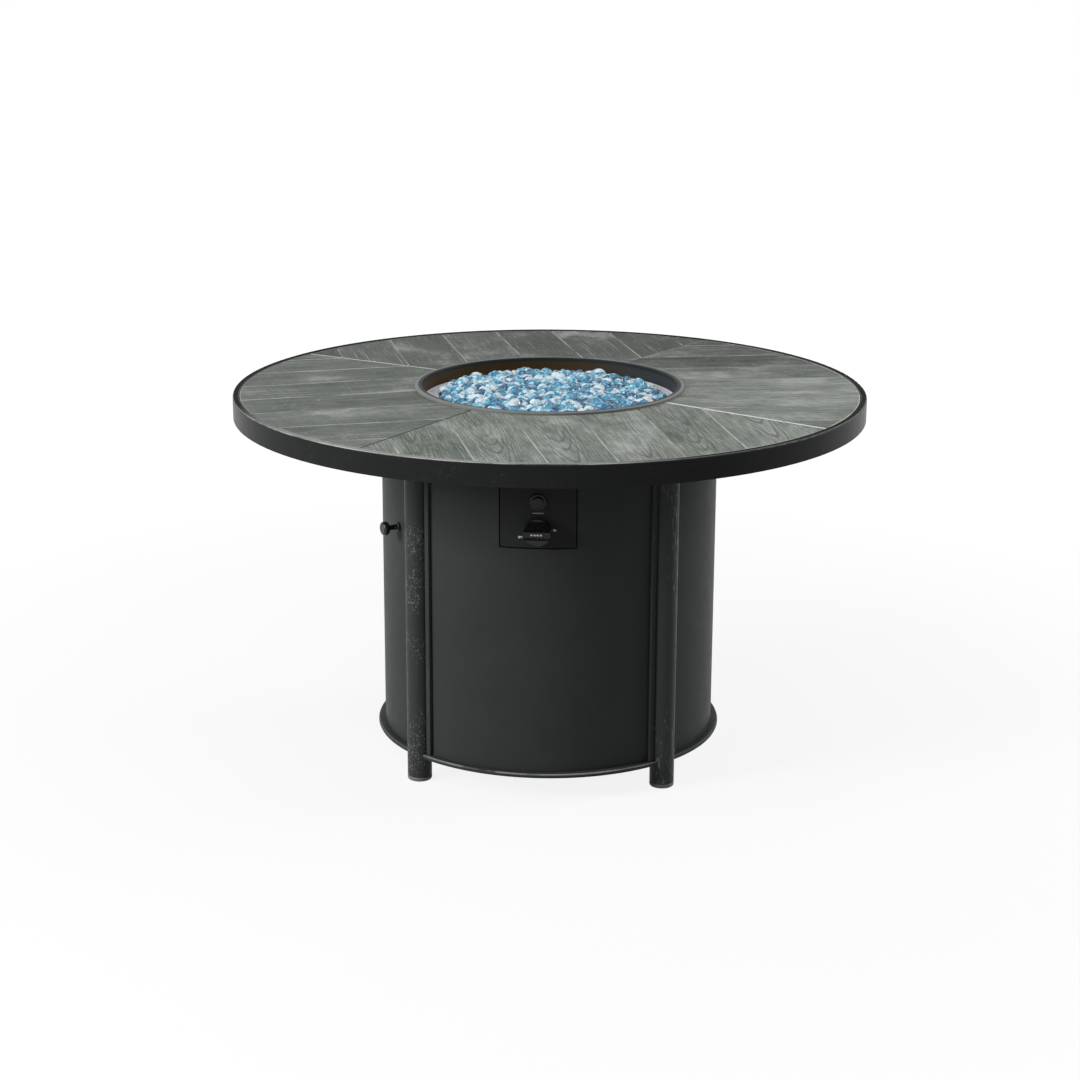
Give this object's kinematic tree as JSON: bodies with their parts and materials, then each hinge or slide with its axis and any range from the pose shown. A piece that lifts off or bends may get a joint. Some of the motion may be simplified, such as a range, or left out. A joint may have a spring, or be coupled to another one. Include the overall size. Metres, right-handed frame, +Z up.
{
  "type": "round gas fire pit table",
  "caption": "Round outdoor table with a slatted crowned top, a fire bowl of glass in its middle and a drum cabinet on tube legs, with a gas control and an access door.",
  "frame": {"origin": "on the floor, under the middle of the table", "axes": "+Z up, the control plate faces -Y, the access door is on the -X side"},
  "size_m": [1.0659, 1.066, 0.6405],
  "materials": {
    "charcoal_paint": "satin charcoal powder coat, lightly rubbed",
    "wood_effect_top": "cast panel with a weathered wood-effect coat",
    "dark_enamel": "dark heat-proof coat",
    "stainless": "plain sheet",
    "fire_glass": "tumbled glass beads",
    "brass": "plain",
    "plain_steel": "zinc plated",
    "black_plastic": "glossy black",
    "matte_black_plastic": "matte black",
    "ceramic": "plain",
    "lead_rubber": "smooth",
    "foot_rubber": "matte"
  },
  "bodies": {
    "table": {"top_rim": "charcoal_paint", "rim_ledge": "charcoal_paint", "top_panel_right": "wood_effect_top", "top_panel_back": "wood_effect_top", "top_panel_left": "wood_effect_top", "top_panel_front": "wood_effect_top", "frame_inner_ring": "charcoal_paint", "frame_arms": "charcoal_paint", "top_ring": "charcoal_paint", "bowl_collar": "dark_enamel", "burner_pan": "stainless", "fire_glass": "fire_glass", "burner_ring": "stainless", "burner_nut": "stainless", "air_mixer": "stainless", "gas_orifice": "brass", "gas_tube": "brass", "gas_valve": "brass", "valve_nut": "plain_steel", "valve_spring": "plain_steel", "control_plate": "charcoal_paint", "control_frame": "charcoal_paint", "igniter_body": "black_plastic", "igniter_nut": "black_plastic", "igniter_spring": "plain_steel", "igniter_battery": "plain_steel", "spark_electrode": "ceramic", "ignition_lead": "lead_rubber", "thermocouple": "brass", "thermocouple_lead": "brass", "front_panel": "charcoal_paint", "right_panel": "charcoal_paint", "rear_panel": "charcoal_paint", "hinge_frame_leaves": "charcoal_paint", "hinge_pins": "plain_steel", "door_magnet": "matte_black_plastic", "leg_front_left": "charcoal_paint", "leg_front_right": "charcoal_paint", "leg_rear_right": "charcoal_paint", "leg_rear_left": "charcoal_paint", "strips_front_left": "charcoal_paint", "strips_front_right": "charcoal_paint", "strips_rear_right": "charcoal_paint", "strips_rear_left": "charcoal_paint", "foot_caps": "foot_rubber", "base_ring": "charcoal_paint", "base_plate": "charcoal_paint", "bottle_ring": "charcoal_paint", "leg_plugs": "plain_steel", "frame_bolts": "plain_steel", "panel_screws": "plain_steel"},
    "door": {"door_panel": "charcoal_paint", "door_knob": "black_plastic", "door_knob_screw": "plain_steel", "hinge_door_leaves": "charcoal_paint"},
    "valve_slide": {"valve_collar": "brass"},
    "knob": {"control_knob": "black_plastic", "valve_stem": "plain_steel"},
    "igniter_press": {"igniter_button": "black_plastic"}
  },
  "joints": [
    {"name": "door_hinge", "type": "hinge", "parent": "table", "child": "door", "pos_m": [-0.22868, 0.18003, 0.32], "axis": [0, 0, -1], "range_deg": [0, 110]},
    {"name": "knob_push", "type": "slide", "parent": "table", "child": "valve_slide", "axis": [0, 1, 0], "range_m": [0, 0.004], "stiffness_N_per_m": 1500},
    {"name": "knob_turn", "type": "hinge", "parent": "valve_slide", "child": "knob", "pos_m": [0, -0.3, 0.4605], "axis": [0, -1, 0], "range_deg": [0, 180]},
    {"name": "igniter_push", "type": "slide", "parent": "table", "child": "igniter_press", "axis": [0, 1, 0], "range_m": [0, 0.004], "stiffness_N_per_m": 1200}
  ]
}
